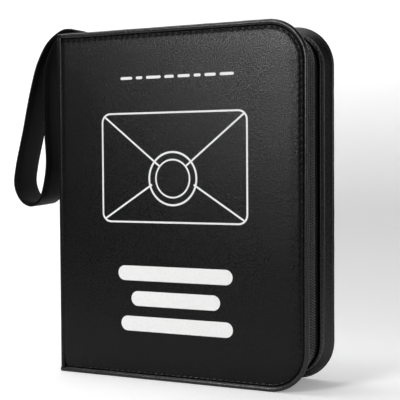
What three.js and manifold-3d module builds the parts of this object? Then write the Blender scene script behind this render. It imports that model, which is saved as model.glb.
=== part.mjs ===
// A zip-around cash envelope wallet: two padded covers on a spine, a zipper round three sides,
// a wrist strap at the top of the spine, and a six-ring binder with a stack of envelopes inside.
// Millimetres, +Z up. The wallet stands closed on the lower edges of its covers: the front cover
// faces -Y, the spine is on the -X side and the zipper runs round the top, +X side and bottom.
import * as THREE from 'three';
import { mergeVertices } from 'three/addons/utils/BufferGeometryUtils.js';
import Module from 'manifold-3d';

const wasm = await Module();
wasm.setup();

// Driving dimensions of the closed wallet
const width = 185;
const height = 235;
const thickness = 50;
const cornerRadius = 27;
const fit = 0.3;

// Covers and spine
const coverThickness = 5;
const pipingDiameter = 3.2;
const panelGap = 0.4;
const spineThickness = 4;
const foldGap = 0.3;

// Gussets: the slanted strips from the cover edges down to the zipper, each with a folded lip
const gussetWall = 1.5;
const gussetTop = 0.5;
const gussetDrop = 4.1;
const gussetSlope = 5.7;
const lipWidth = 4.5;
const lipDrop = 0.4;
const gussetStart = 6;

// Zipper
const zipRecess = 7.5;
const tapeThickness = 1;
const tapeTuck = 3.8;
const coilWidth = 3.7;
const coilHeight = 1.4;
const chainSlot = 1.4;
const zipEndLength = 30.6;
const zipEndBridge = 5;
const stopLength = 2;
const stopHeight = 2;

// Slider and its pull tab
const sliderLength = 14;
const sliderWall = 1.2;
const sliderFlange = 0.9;
const sliderPost = 0.8;
const sliderStart = 3;
const pinDiameter = 1.4;
const lugThickness = 1.2;
const lugGap = 4.4;
const pullLength = 30;
const pullWidth = 9;
const pullThickness = 1.6;

// Wrist strap
const strapWidth = 26;
const strapThickness = 2.2;
const strapLap = 4;

// Ring binder
const ringRadius = 13;
const wireDiameter = 2.6;
const ringPitch = 19;
const ringMiddleGap = 70;
const ringRoot = 6.3;
const ringFoot = 1.8;
const leafThickness = 1;
const leafWidth = 7;
const leafHeight = 2.1;
const leafGap = 0.4;
const plateWidth = 9.2;
const plateRise = 1.8;
const plateThickness = 1.1;
const rivetInset = 8;
const rivetRadius = 2;
const rivetHeadRadius = 4.5;
const rivetHeadHeight = 1.2;
const leverWidth = 9;
const leverLength = 10.6;
const leverGap = 0.8;
const leverRoom = 8;

// Stack of envelopes, with its gaps to the zipper tapes
const stackEndGap = 5;
const stackEdgeGap = 7.4;
const stackThickness = 18;
const stackMargin = 5;
const stackCorner = 3;
const slotLength = 7;
const slotWidth = 4;

// Places that several pieces share
const left = -width / 2;
const right = width / 2;
const middle = height / 2;
const half = thickness / 2;
const spineFace = left + spineThickness;
const foldRadius = coverThickness / 2;
const spineHalf = half - coverThickness - foldGap;
const tapeBottom = -zipRecess - tapeThickness;
const coilBottom = -zipRecess + fit;
const coilTop = coilBottom + coilHeight;
const coilInner = chainSlot / 2;
const coilOuter = coilInner + coilWidth;
const zipStart = left + zipEndLength + 2 * fit;
const lipDepth = pipingDiameter + fit + gussetSlope + lipWidth;
const tapeOuter = half - lipDepth + tapeTuck;
const sliderFloor = height + tapeBottom - fit - sliderWall;
const plateHalf = sliderFloor - leverRoom - leverLength - leverGap - middle;

const finish = {
  leather: { color: 0x1b1b1d, roughness: 0.6, metalness: 0 },
  tape: { color: 0x161617, roughness: 0.9, metalness: 0 },
  coil: { color: 0x202022, roughness: 0.45, metalness: 0 },
  metal: { color: 0xb9babd, roughness: 0.3, metalness: 1 },
  paper: { color: 0xd8c3a0, roughness: 0.85, metalness: 0 },
};

const wallet = new THREE.Group();

function addPiece(name, geometry, kind) {
  const mesh = new THREE.Mesh(geometry, new THREE.MeshStandardMaterial(finish[kind]));
  mesh.name = name;
  wallet.add(mesh);
  return mesh;
}

// Joining closed geometries
function solidOf(geometry) {
  const bare = geometry.clone();
  bare.deleteAttribute('normal');
  bare.deleteAttribute('uv');
  const merged = mergeVertices(bare, 1e-4);
  const mesh = new wasm.Mesh({
    numProp: 3,
    vertProperties: merged.attributes.position.array,
    triVerts: new Uint32Array(merged.index.array),
  });
  return new wasm.Manifold(mesh);
}

function geometryOf(solid) {
  const mesh = solid.getMesh();
  const geometry = new THREE.BufferGeometry();
  geometry.setAttribute('position', new THREE.BufferAttribute(mesh.vertProperties, 3));
  geometry.setIndex(new THREE.BufferAttribute(mesh.triVerts, 1));
  geometry.computeVertexNormals();
  return geometry;
}

function join(geometries) {
  return geometryOf(geometries.map(solidOf).reduce((sum, next) => sum.add(next)));
}

function cut(geometry, tools) {
  return geometryOf(tools.map(solidOf).reduce((rest, tool) => rest.subtract(tool), solidOf(geometry)));
}

function polygon(points) {
  return new THREE.Shape(points.map(([x, y]) => new THREE.Vector2(x, y)));
}

// A flat outline drawn in X and Z, from y0 to y1
function slabAlongY(shape, y0, y1) {
  const geometry = new THREE.ExtrudeGeometry(shape, { depth: y1 - y0, bevelEnabled: false });
  return geometry.rotateX(Math.PI / 2).translate(0, y1, 0);
}

// A flat outline drawn in Y and Z, from x0 to x1
function slabAlongX(shape, x0, x1) {
  const geometry = new THREE.ExtrudeGeometry(shape, { depth: x1 - x0, bevelEnabled: false });
  return geometry.rotateX(Math.PI / 2).rotateZ(Math.PI / 2).translate(x0, 0, 0);
}

// A flat outline drawn in X and Y, from z0 to z1
function slabAlongZ(shape, z0, z1) {
  const geometry = new THREE.ExtrudeGeometry(shape, { depth: z1 - z0, bevelEnabled: false });
  return geometry.translate(0, 0, z0);
}

function block(x0, x1, y0, y1, z0, z1) {
  const box = new THREE.BoxGeometry(x1 - x0, y1 - y0, z1 - z0);
  return box.translate((x0 + x1) / 2, (y0 + y1) / 2, (z0 + z1) / 2);
}

// A path given by stations, each with the two directions that a section is drawn in
class Run extends THREE.Curve {
  constructor(stations) {
    super();
    this.stations = stations;
  }

  getPoint(t) {
    return this.stations[Math.round(t * (this.stations.length - 1))].point.clone();
  }

  getSpacedPoints() {
    return this.stations.map((station) => station.point.clone());
  }

  computeFrenetFrames() {
    const normals = this.stations.map((station) => station.normal);
    const binormals = this.stations.map((station) => station.binormal);
    const tangents = normals.map((normal, i) => normal.clone().cross(binormals[i]));
    return { tangents, normals, binormals };
  }
}

function sweep(shape, stations) {
  const options = { steps: stations.length - 1, extrudePath: new Run(stations), bevelEnabled: false };
  return new THREE.ExtrudeGeometry(shape, options);
}

// Round the wallet's edge from x = start on the bottom, up the zipper side and back along the top
function edgeStations(start) {
  const depthwise = new THREE.Vector3(0, 1, 0);
  const stations = [];
  const place = (x, z, angle) => {
    const normal = new THREE.Vector3(Math.cos(angle), 0, Math.sin(angle));
    stations.push({ point: new THREE.Vector3(x, 0, z), normal, binormal: depthwise });
  };
  const corner = (z, first, last) => {
    const steps = 8;
    for (let i = 0; i <= steps; i += 1) {
      const angle = THREE.MathUtils.lerp(first, last, i / steps);
      const x = right - cornerRadius + cornerRadius * Math.cos(angle);
      place(x, z + cornerRadius * Math.sin(angle), angle);
    }
  };
  place(start, 0, -Math.PI / 2);
  corner(cornerRadius, -Math.PI / 2, 0);
  corner(height - cornerRadius, 0, Math.PI / 2);
  place(start, height, Math.PI / 2);
  return stations;
}

// A section for the edge runs: outward distance, and depth from the cover's outer face.
// side is -1 for the front and 1 for the back.
function edgeSection(points, side) {
  return polygon(points.map(([outward, depth]) => [outward, side * (half - depth)]));
}

// The padded panel of a cover, with round edges; its spine edge turns about the fold
function coverPanel(side) {
  const inset = pipingDiameter + panelGap;
  const round = cornerRadius - inset;
  const top = height - inset;
  const far = right - inset;
  const shape = new THREE.Shape();
  shape.moveTo(left, inset);
  shape.lineTo(far - round, inset);
  shape.absarc(far - round, inset + round, round, -Math.PI / 2, 0, false);
  shape.absarc(far - round, top - round, round, 0, Math.PI / 2, false);
  shape.lineTo(left, top);
  const flat = 0.2;
  const bevel = (coverThickness - flat) / 2;
  const geometry = new THREE.ExtrudeGeometry(shape, {
    depth: flat,
    curveSegments: 8,
    bevelThickness: bevel,
    bevelSize: bevel,
    bevelOffset: -bevel,
    bevelSegments: 4,
  });
  return geometry.rotateX(Math.PI / 2).translate(0, side * (half - foldRadius) + flat / 2, 0);
}

function piping(side) {
  const radius = pipingDiameter / 2;
  const sides = 8;
  const reach = radius / Math.cos(Math.PI / sides);
  const points = [];
  for (let i = 0; i < sides; i += 1) {
    const angle = ((i + 0.5) / sides) * 2 * Math.PI;
    points.push([-radius + reach * Math.cos(angle), radius + reach * Math.sin(angle)]);
  }
  return sweep(edgeSection(points, side), edgeStations(left + panelGap));
}

function gusset(side) {
  const first = pipingDiameter + fit;
  const foot = -zipRecess + 2 * fit;
  const points = [
    [-gussetTop, first],
    [-gussetTop - gussetDrop, first + gussetSlope],
    [-gussetTop - gussetDrop - lipDrop, lipDepth],
    [foot, lipDepth],
    [foot, first + gussetSlope + gussetWall / 2],
    [-gussetTop - gussetWall, first],
  ];
  return sweep(edgeSection(points, side), edgeStations(left + gussetStart));
}

function edgeStrip(side, outward0, outward1, near, far) {
  const points = [
    [outward0, half - near],
    [outward1, half - near],
    [outward1, half - far],
    [outward0, half - far],
  ];
  return sweep(edgeSection(points, side), edgeStations(zipStart));
}

function addCover(name, side) {
  addPiece(`${name}_cover`, coverPanel(side), 'leather');
  addPiece(`${name}_piping`, piping(side), 'leather');
  addPiece(`${name}_gusset`, gusset(side), 'leather');
  addPiece(`${name}_zipper_tape`, edgeStrip(side, tapeBottom, -zipRecess, coilInner, tapeOuter), 'tape');
  addPiece(`${name}_zipper_coil`, edgeStrip(side, coilBottom, coilTop, coilInner, coilOuter), 'coil');
}

// Rivets hold the ring binder to the spine
const rivetHeights = [middle - plateHalf + rivetInset, middle + plateHalf - rivetInset];

function spinePanel() {
  const shape = polygon([
    [-spineHalf, 0],
    [spineHalf, 0],
    [spineHalf, height],
    [-spineHalf, height],
  ]);
  for (const z of rivetHeights) {
    const hole = new THREE.Path();
    hole.absarc(0, z, rivetRadius + fit, 0, 2 * Math.PI, true);
    shape.holes.push(hole);
  }
  return slabAlongX(shape, left, spineFace);
}

// The short stretch of zipper beside the spine, where both tapes are sewn together.
// base is the height of the wallet's edge there and up is 1 at the top and -1 at the bottom.
function addZipperEnd(name, base, up) {
  const heights = (outward0, outward1) => {
    const pair = [base + up * outward0, base + up * outward1];
    return pair.sort((a, b) => a - b);
  };
  const first = spineFace + fit;
  const last = left + zipEndLength;
  const slot = first + zipEndBridge;
  const outline = polygon([
    [first, -tapeOuter],
    [last, -tapeOuter],
    [last, -coilInner],
    [slot, -coilInner],
    [slot, coilInner],
    [last, coilInner],
    [last, tapeOuter],
    [first, tapeOuter],
  ]);
  addPiece(`zipper_end_tape_${name}`, slabAlongZ(outline, ...heights(tapeBottom, -zipRecess)), 'tape');
  const coilHeights = heights(coilBottom, coilTop);
  for (const [side, sideName] of [[-1, 'front'], [1, 'back']]) {
    const across = [side * coilInner, side * coilOuter].sort((a, b) => a - b);
    addPiece(`zipper_end_coil_${name}_${sideName}`, block(slot, last, ...across, ...coilHeights), 'coil');
  }
  const stopEnd = slot - fit;
  const stopHeights = heights(coilBottom, coilBottom + stopHeight);
  const stop = block(stopEnd - stopLength, stopEnd, -coilOuter, coilOuter, ...stopHeights);
  addPiece(`zipper_stop_${name}`, stop, 'metal');
}

// The slider's section is the same all along: a roof with side flanges, a post between the
// two coils and a floor below the tapes. Its pull tab turns on a pin between two lugs.
const roofBottom = height + coilTop + fit;
const roofTop = roofBottom + sliderWall;
const sliderHalf = coilOuter + fit + sliderFlange;
const sliderX = spineFace + fit + zipEndBridge + sliderStart - stopLength;
const boreRadius = pinDiameter / 2 + fit / 2;
const eyeRadius = boreRadius + sliderWall / 2;
const pinHeight = roofTop + eyeRadius + fit;
const pinX = sliderX + sliderLength / 2;

function sliderBody() {
  const floorTop = sliderFloor + sliderWall;
  const flangeFoot = height - zipRecess + fit;
  const inner = coilOuter + fit;
  const post = sliderPost / 2;
  const section = polygon([
    [-sliderHalf, sliderFloor],
    [sliderHalf, sliderFloor],
    [sliderHalf, floorTop],
    [post, floorTop],
    [post, roofBottom],
    [inner, roofBottom],
    [inner, flangeFoot],
    [sliderHalf, flangeFoot],
    [sliderHalf, roofTop],
    [-sliderHalf, roofTop],
    [-sliderHalf, flangeFoot],
    [-inner, flangeFoot],
    [-inner, roofBottom],
    [-post, roofBottom],
    [-post, floorTop],
    [-sliderHalf, floorTop],
  ]);
  const pieces = [slabAlongX(section, sliderX, sliderX + sliderLength)];
  const lugRadius = pinDiameter / 2 + sliderWall / 2;
  for (const side of [-1, 1]) {
    const near = side * (lugGap / 2);
    const across = [near, near + side * lugThickness].sort((a, b) => a - b);
    const eye = new THREE.CylinderGeometry(lugRadius, lugRadius, lugThickness, 16);
    pieces.push(eye.translate(pinX, (across[0] + across[1]) / 2, pinHeight));
    pieces.push(block(pinX - lugRadius, pinX + lugRadius, ...across, roofTop - sliderWall / 2, pinHeight));
  }
  const pin = new THREE.CylinderGeometry(pinDiameter / 2, pinDiameter / 2, lugGap + lugThickness, 12);
  pieces.push(pin.translate(pinX, 0, pinHeight));
  return join(pieces);
}

// A flat tab whose narrow eye turns on the slider's pin; it lies along the chain
function pullTab() {
  const neck = lugGap - 2 * fit;
  const shoulder = pinX + pinDiameter + sliderWall + lugThickness;
  const outline = polygon([
    [pinX, -neck / 2],
    [shoulder, -neck / 2],
    [shoulder + neck / 2, -pullWidth / 2],
    [pinX + pullLength - pullWidth / 4, -pullWidth / 2],
    [pinX + pullLength, -pullWidth / 4],
    [pinX + pullLength, pullWidth / 4],
    [pinX + pullLength - pullWidth / 4, pullWidth / 2],
    [shoulder + neck / 2, pullWidth / 2],
    [shoulder, neck / 2],
    [pinX, neck / 2],
  ]);
  const blade = slabAlongZ(outline, pinHeight - pullThickness / 2, pinHeight + pullThickness / 2);
  const eye = new THREE.CylinderGeometry(eyeRadius, eyeRadius, neck, 16).translate(pinX, 0, pinHeight);
  const bore = new THREE.CylinderGeometry(boreRadius, boreRadius, pullWidth, 16);
  return cut(join([blade, eye]), [bore.translate(pinX, 0, pinHeight)]);
}

// The strap's centre line, from its sewn end over the top of the spine, down the outer leg, round
// the bottom and up the inner leg. Each point is measured from the spine's outer top corner.
const strapPoints = [
  [strapLap, 3.8],
  [-3, 3.7],
  [-14.7, -3.2],
  [-24.2, -17.5],
  [-31, -38],
  [-37.5, -65],
  [-44.4, -92],
  [-46, -104],
  [-43.5, -112],
  [-38, -118],
  [-31, -119.5],
  [-24.6, -115.5],
  [-20.8, -106],
  [-18, -90],
  [-19, -68],
  [-19.5, -44],
  [-18.5, -23],
  [-14, -10.5],
  [-6.5, -1],
  [0, 1.5],
  [strapLap, 1.3],
];

function wristStrap() {
  const places = strapPoints.map(([x, z]) => new THREE.Vector3(left + x, height + z, 0));
  const line = new THREE.CatmullRomCurve3(places, false, 'centripetal');
  const steps = 60;
  const outer = [];
  const inner = [];
  for (let i = 0; i <= steps; i += 1) {
    const point = line.getPoint(i / steps);
    const tangent = line.getTangent(i / steps);
    const aside = new THREE.Vector2(tangent.y, -tangent.x).multiplyScalar(strapThickness / 2);
    const centre = new THREE.Vector2(point.x, point.y);
    outer.push(centre.clone().add(aside));
    if (i > 1 && i < steps - 1) inner.push(centre.clone().sub(aside));
  }
  const shape = new THREE.Shape(outer);
  shape.holes.push(new THREE.Path(inner));
  return slabAlongY(shape, -strapWidth / 2, strapWidth / 2);
}

// Ring binder: a plate over two hinged leaves, and half a ring on each side of every hole
const leafTop = spineFace + leafHeight + leafThickness;
const ringCentre = leafTop + Math.sqrt(ringRadius ** 2 - ringRoot ** 2);
const ringOffsets = [0, 1, 2].map((i) => ringMiddleGap / 2 + i * ringPitch);
const ringHeights = [...ringOffsets.map((offset) => -offset).reverse(), ...ringOffsets].map((z) => middle + z);

function ringPlate() {
  const foot = leafTop + leafGap;
  const crown = foot + 2 * plateRise;
  const shape = new THREE.Shape();
  shape.moveTo(foot, -plateWidth / 2);
  shape.quadraticCurveTo(crown, 0, foot, plateWidth / 2);
  shape.lineTo(foot, plateWidth / 2 - plateThickness);
  shape.quadraticCurveTo(crown - 2 * plateThickness, 0, foot, -plateWidth / 2 + plateThickness);
  const options = { depth: 2 * plateHalf, bevelEnabled: false, curveSegments: 6 };
  return new THREE.ExtrudeGeometry(shape, options).translate(0, 0, middle - plateHalf);
}

function leaf(side) {
  const reach = plateHalf - fit;
  const notch = rivetRadius + 2 * fit;
  const across = (distance) => side * distance;
  const points = [[across(leafGap), middle - reach]];
  for (const z of rivetHeights) {
    points.push([across(leafGap), z - notch], [across(notch), z - notch]);
    points.push([across(notch), z + notch], [across(leafGap), z + notch]);
  }
  points.push([across(leafGap), middle + reach], [across(leafWidth), middle + reach]);
  points.push([across(leafWidth), middle - reach]);
  const first = spineFace + leafHeight;
  return slabAlongX(polygon(points), first, first + leafThickness);
}

function halfRing(side, z) {
  const rootAngle = Math.PI - Math.acos((ringCentre - leafTop - ringFoot) / ringRadius);
  const tipAngle = fit / 2 / ringRadius;
  const steps = 8;
  const along = new THREE.Vector3(0, 0, -1);
  const stations = [];
  for (let i = 0; i <= steps; i += 1) {
    const angle = side * THREE.MathUtils.lerp(tipAngle, rootAngle, i / steps);
    const normal = new THREE.Vector3(Math.cos(angle), Math.sin(angle), 0);
    const point = new THREE.Vector3(ringCentre, 0, z).addScaledVector(normal, ringRadius);
    stations.push({ point, normal, binormal: along });
  }
  const foot = new THREE.Vector3(leafTop + fit, side * ringRoot, z);
  stations.push({ point: foot, normal: new THREE.Vector3(0, side, 0), binormal: along });
  if (side < 0) stations.reverse();
  const section = new THREE.Shape();
  section.absarc(0, 0, wireDiameter / 2, 0, 2 * Math.PI, false);
  const round = new THREE.Shape(section.getSpacedPoints(8).slice(0, 8));
  return sweep(round, stations);
}

// A rivet with its domed head on the spine's outer face
function rivet(z) {
  const tip = spineThickness + leafHeight + leafThickness + leafGap + plateRise - plateThickness - fit;
  const profile = [new THREE.Vector2(0, -rivetHeadHeight)];
  const domeSteps = 4;
  for (let i = 1; i <= domeSteps; i += 1) {
    const angle = (i / domeSteps) * (Math.PI / 2);
    const across = rivetHeadRadius * Math.sin(angle);
    profile.push(new THREE.Vector2(across, -fit - (rivetHeadHeight - fit) * Math.cos(angle)));
  }
  profile.push(new THREE.Vector2(rivetRadius, -fit));
  profile.push(new THREE.Vector2(rivetRadius, tip), new THREE.Vector2(0, tip));
  const turned = new THREE.LatheGeometry(profile, 16);
  return turned.rotateZ(-Math.PI / 2).translate(left, 0, z);
}

// A bent lever at an end of the plate; its tip stands up towards the envelopes
function lever(up) {
  const start = plateHalf + leverGap;
  const bent = [
    [2, 0],
    [3.2, 0],
    [3.9, leverLength - 5],
    [8.8, leverLength - 1],
    [8.1, leverLength],
    [2.9, leverLength - 4.3],
  ];
  const shape = polygon(bent.map(([x, z]) => [spineFace + x, middle + up * (start + z)]));
  return slabAlongY(shape, -leverWidth / 2, leverWidth / 2);
}

// The envelopes are one block with a slot for each ring
function envelopeStack() {
  const slotEnd = ringCentre + ringRadius + wireDiameter / 2 + fit;
  const first = slotEnd - slotLength - stackMargin;
  const low = stackEndGap - tapeBottom;
  const top = height - low;
  const corner = right + tapeBottom - stackEdgeGap - stackCorner;
  const shape = new THREE.Shape();
  shape.moveTo(first, low);
  shape.lineTo(corner, low);
  shape.absarc(corner, low + stackCorner, stackCorner, -Math.PI / 2, 0, false);
  shape.absarc(corner, top - stackCorner, stackCorner, 0, Math.PI / 2, false);
  shape.lineTo(first, top);
  for (const z of ringHeights) {
    const slot = [
      [slotEnd - slotLength, z - slotWidth / 2],
      [slotEnd - slotLength, z + slotWidth / 2],
      [slotEnd, z + slotWidth / 2],
      [slotEnd, z - slotWidth / 2],
    ];
    shape.holes.push(new THREE.Path(slot.map(([x, y]) => new THREE.Vector2(x, y))));
  }
  const options = { depth: stackThickness, bevelEnabled: false, curveSegments: 4 };
  return new THREE.ExtrudeGeometry(shape, options).rotateX(Math.PI / 2).translate(0, stackThickness / 2, 0);
}

addCover('front', -1);
addCover('back', 1);
addPiece('spine', spinePanel(), 'leather');
addPiece('wrist_strap', wristStrap(), 'leather');
addZipperEnd('top', height, 1);
addZipperEnd('bottom', 0, -1);
addPiece('slider', sliderBody(), 'metal');
addPiece('pull_tab', pullTab(), 'metal');
addPiece('ring_plate', ringPlate(), 'metal');
addPiece('rivet_bottom', rivet(rivetHeights[0]), 'metal');
addPiece('rivet_top', rivet(rivetHeights[1]), 'metal');
addPiece('leaf_front', leaf(-1), 'metal');
addPiece('leaf_back', leaf(1), 'metal');
ringHeights.forEach((z, i) => {
  addPiece(`ring_front_${i + 1}`, halfRing(-1, z), 'metal');
  addPiece(`ring_back_${i + 1}`, halfRing(1, z), 'metal');
});
addPiece('lever_bottom', lever(-1), 'metal');
addPiece('lever_top', lever(1), 'metal');
addPiece('envelope_stack', envelopeStack(), 'paper');

// The origin is below the middle of the whole thing, strap included
const bounds = new THREE.Box3().setFromObject(wallet);
wallet.position.x = -(bounds.min.x + bounds.max.x) / 2;

const part = new THREE.Group();
part.add(wallet);

export default part;
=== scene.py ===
"""Looks of the cash envelope wallet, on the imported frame.

Lengths are in mm, and MM turns them into metres. The stage, the lamps and the camera are in metres.
"""
import math
import random
import bmesh
import bpy
from mathutils import Matrix, Vector, noise


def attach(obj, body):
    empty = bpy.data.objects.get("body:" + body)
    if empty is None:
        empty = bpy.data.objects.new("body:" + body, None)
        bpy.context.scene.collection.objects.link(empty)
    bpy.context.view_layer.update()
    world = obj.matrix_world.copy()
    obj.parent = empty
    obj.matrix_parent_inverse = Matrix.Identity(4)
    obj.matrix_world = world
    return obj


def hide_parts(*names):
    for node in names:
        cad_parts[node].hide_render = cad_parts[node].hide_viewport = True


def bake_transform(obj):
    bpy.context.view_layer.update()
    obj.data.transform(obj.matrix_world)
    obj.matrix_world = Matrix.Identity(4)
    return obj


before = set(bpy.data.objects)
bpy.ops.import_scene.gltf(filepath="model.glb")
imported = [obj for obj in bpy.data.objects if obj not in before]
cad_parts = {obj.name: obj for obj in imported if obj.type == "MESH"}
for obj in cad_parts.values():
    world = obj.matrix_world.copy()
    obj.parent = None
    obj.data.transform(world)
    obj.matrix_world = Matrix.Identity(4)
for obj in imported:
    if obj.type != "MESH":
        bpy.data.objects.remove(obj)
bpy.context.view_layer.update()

random.seed(7)
MM = 0.001

# The closed wallet: x from the spine's face to the zipper side, y from front to back, z up
RIGHT, LEFT, HEIGHT = 116.05, -68.95, 235.0
HALF = 25.0                 # half its thickness
CORNER = 27.0               # radius of its round corners
PANEL_INSET = 3.6           # from its edge to a cover panel's edge
FOLD_ROUND = 2.6            # radius of a cover panel at the fold
ZIP_START = LEFT + 31.2     # where the open part of the zipper begins
STITCH = 4.3                # pitch of the covers' stitches
SEAM_INSET = 1.35           # from a panel's edge to its seam
SEAM_PHASE = 279.6          # the seam's length from its start to the middle of the zipper side
SIDES = (("front", -1), ("back", 1))
Y_AXIS = Vector((0, 1, 0))


# ---------------------------------------------------------------- materials
# A texture's scale is its number of cells in a metre
PEBBLES, PEBBLE_HEIGHT = 800, 0.8
CREASES, CREASE_HEIGHT = 560, 2.6
FINE_GRAIN, CLOUDS, SPECKLE = 2600, 28, 1250
WAVE_BANDS = 3.1416         # bands in a metre for each unit of a wave texture's scale, roughly


def socket_value(node, name, value):
    node.inputs[name].default_value = value


def math_node(tree, kind, a, b, clamp=False):
    """The output of a math node; a and b are numbers or other nodes' outputs."""
    made = tree.nodes.new("ShaderNodeMath")
    made.operation = kind
    made.use_clamp = clamp
    for i, value in enumerate((a, b)):
        if isinstance(value, (int, float)):
            made.inputs[i].default_value = value
        else:
            tree.links.new(value, made.inputs[i])
    return made.outputs[0]


def range_node(tree, value, low, high, out_low, out_high):
    made = tree.nodes.new("ShaderNodeMapRange")
    for key, number in (("From Min", low), ("From Max", high), ("To Min", out_low), ("To Max", out_high)):
        socket_value(made, key, number)
    tree.links.new(value, made.inputs["Value"])
    return made.outputs["Result"]


def shade(color, factor):
    return tuple(min(1, c * factor) for c in color)


class Material:
    """A procedural material on a Principled shader, with helpers for its nodes."""

    def __init__(self, name, color, rough, **sockets):
        self.mat = bpy.data.materials.new(name)
        self.mat.use_nodes = True
        self.mat.diffuse_color = (*color, 1)
        self.tree = self.mat.node_tree
        self.shader = self.tree.nodes["Principled BSDF"]
        socket_value(self.shader, "Base Color", (*color, 1))
        socket_value(self.shader, "Roughness", rough)
        for key, value in sockets.items():
            socket_value(self.shader, key.replace("_", " "), value)
        self.coord = self.node("ShaderNodeTexCoord")
        self.normal = None

    def node(self, kind, **fields):
        made = self.tree.nodes.new(kind)
        for key, value in fields.items():
            setattr(made, key, value)
        return made

    def link(self, a, b):
        self.tree.links.new(a, b)

    def mapped(self, scale):
        mapping = self.node("ShaderNodeMapping")
        socket_value(mapping, "Scale", scale if isinstance(scale, tuple) else (scale,) * 3)
        self.link(self.coord.outputs["Object"], mapping.inputs["Vector"])
        return mapping.outputs["Vector"]

    def noise(self, scale, detail=3, rough=0.55):
        made = self.node("ShaderNodeTexNoise")
        socket_value(made, "Scale", 1)
        socket_value(made, "Detail", detail)
        socket_value(made, "Roughness", rough)
        self.link(self.mapped(scale), made.inputs["Vector"])
        return made.outputs["Fac"]

    def cells(self, scale):
        made = self.node("ShaderNodeTexVoronoi", feature="DISTANCE_TO_EDGE")
        socket_value(made, "Scale", 1)
        self.link(self.mapped(scale), made.inputs["Vector"])
        return made.outputs["Distance"]

    def wave(self, scale, direction, distortion=0.0):
        made = self.node("ShaderNodeTexWave", bands_direction=direction, wave_profile="SIN")
        socket_value(made, "Scale", 1)
        socket_value(made, "Distortion", distortion)
        self.link(self.mapped(scale), made.inputs["Vector"])
        return made.outputs["Fac"]

    def ramp(self, value, low, high, out_low=0.0, out_high=1.0):
        return range_node(self.tree, value, low, high, out_low, out_high)

    def times(self, value, factor):
        return math_node(self.tree, "MULTIPLY", value, factor)

    def plus(self, a, b):
        return math_node(self.tree, "ADD", a, b)

    def color_mix(self, value, low, high):
        made = self.node("ShaderNodeMix", data_type="RGBA")
        made.inputs["A"].default_value = (*low, 1)
        made.inputs["B"].default_value = (*high, 1)
        self.link(value, made.inputs["Factor"])
        self.link(made.outputs["Result"], self.shader.inputs["Base Color"])

    def rough(self, value, low, high):
        self.link(self.ramp(value, 0.25, 0.75, low, high), self.shader.inputs["Roughness"])

    def bump(self, height, distance_mm, strength=1.0):
        """Adds a bump on top of those made before."""
        made = self.node("ShaderNodeBump")
        socket_value(made, "Strength", strength)
        socket_value(made, "Distance", distance_mm * MM)
        self.link(height, made.inputs["Height"])
        if self.normal is not None:
            self.link(self.normal, made.inputs["Normal"])
        self.normal = made.outputs["Normal"]
        self.link(self.normal, self.shader.inputs["Normal"])


def leather(name, color, rough, grain, depth, gloss):
    """Grained faux leather: pebbles and creases, a fine grain, clouds of tone and speckled gloss."""
    m = Material(name, color, rough, Specular_IOR_Level=gloss)
    pebbles = m.ramp(m.cells(PEBBLES * grain), 0.0, 0.36)
    creases = m.noise(CREASES * grain, 3, 0.6)
    m.bump(m.plus(m.times(pebbles, PEBBLE_HEIGHT), m.times(creases, CREASE_HEIGHT)), depth)
    m.bump(m.noise(FINE_GRAIN * grain, 2), depth * 0.35)
    m.color_mix(m.ramp(m.noise(CLOUDS, 3), 0.3, 0.7), shade(color, 0.82), shade(color, 1.2))
    speckle = m.ramp(m.noise(SPECKLE * grain, 2, 0.4), 0.4, 0.6)
    dull = m.plus(m.times(pebbles, -0.16), m.plus(m.times(speckle, 0.6), 0.25))
    m.rough(dull, rough - 0.07, rough + 0.08)
    return m.mat


def metal(name, color, rough, scratch=0.06):
    """Metal with faint brushing and worn clouds."""
    m = Material(name, color, rough, Metallic=1.0)
    brushed = m.noise((900, 900, 60), 3)
    worn = m.noise(160, 4)
    m.rough(m.plus(m.times(brushed, 0.5), m.times(worn, 0.5)), rough - scratch, rough + scratch)
    m.color_mix(m.ramp(worn, 0.35, 0.7), shade(color, 0.9), color)
    m.bump(worn, 0.01, 0.4)
    return m.mat


def woven(name, color, thread_mm=0.55, depth=0.12):
    """Plain weave of threads thread_mm apart, with a little fuzz."""
    m = Material(name, color, 0.85, Specular_IOR_Level=0.1, Sheen_Weight=0.03, Sheen_Roughness=0.5)
    density = 1 / (thread_mm * MM) / WAVE_BANDS
    warp = m.wave((density, density, 0.001), "X", distortion=0.4)
    weft = m.wave((0.001, 0.001, density), "Z", distortion=0.4)
    across = m.wave((0.001, density, 0.001), "Y", distortion=0.4)
    weave = m.times(m.plus(warp, across), weft)
    m.bump(weave, depth)
    m.bump(m.noise(3000, 2), depth * 0.4)
    m.color_mix(m.ramp(weave, 0.2, 1.4), shade(color, 0.6), shade(color, 1.35))
    return m.mat


def coil_plastic():
    # Its colours are much lighter than the coil's black nylon: a painted highlight that stands in for the light on
    # the teeth. The clouds between the two greys are random tone.
    m = Material("coil_nylon", (0.14, 0.14, 0.143), 0.25, Specular_IOR_Level=1.0)
    m.rough(m.noise(700, 3), 0.2, 0.3)
    m.bump(m.noise(1500, 2), 0.01)
    m.color_mix(m.ramp(m.noise(260, 3), 0.3, 0.7), (0.12, 0.12, 0.123), (0.165, 0.165, 0.168))
    return m.mat


def thread():
    m = Material("sewing_thread", (0.004, 0.004, 0.0042), 0.7, Specular_IOR_Level=0.12)
    twist = m.wave(1500, "DIAGONAL")
    m.bump(twist, 0.05)
    m.color_mix(twist, (0.0025, 0.0025, 0.0026), (0.006, 0.006, 0.0063))
    return m.mat


def paper(name, color):
    """Kraft paper: long fibres and a slight waviness."""
    m = Material(name, color, 0.85)
    fibre = m.noise((240, 240, 900), 5, 0.7)
    m.color_mix(m.ramp(fibre, 0.3, 0.72), shade(color, 0.86), shade(color, 1.06))
    m.bump(fibre, 0.03)
    m.bump(m.noise(45, 3), 0.25)
    m.rough(fibre, 0.8, 0.92)
    return m.mat


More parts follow.
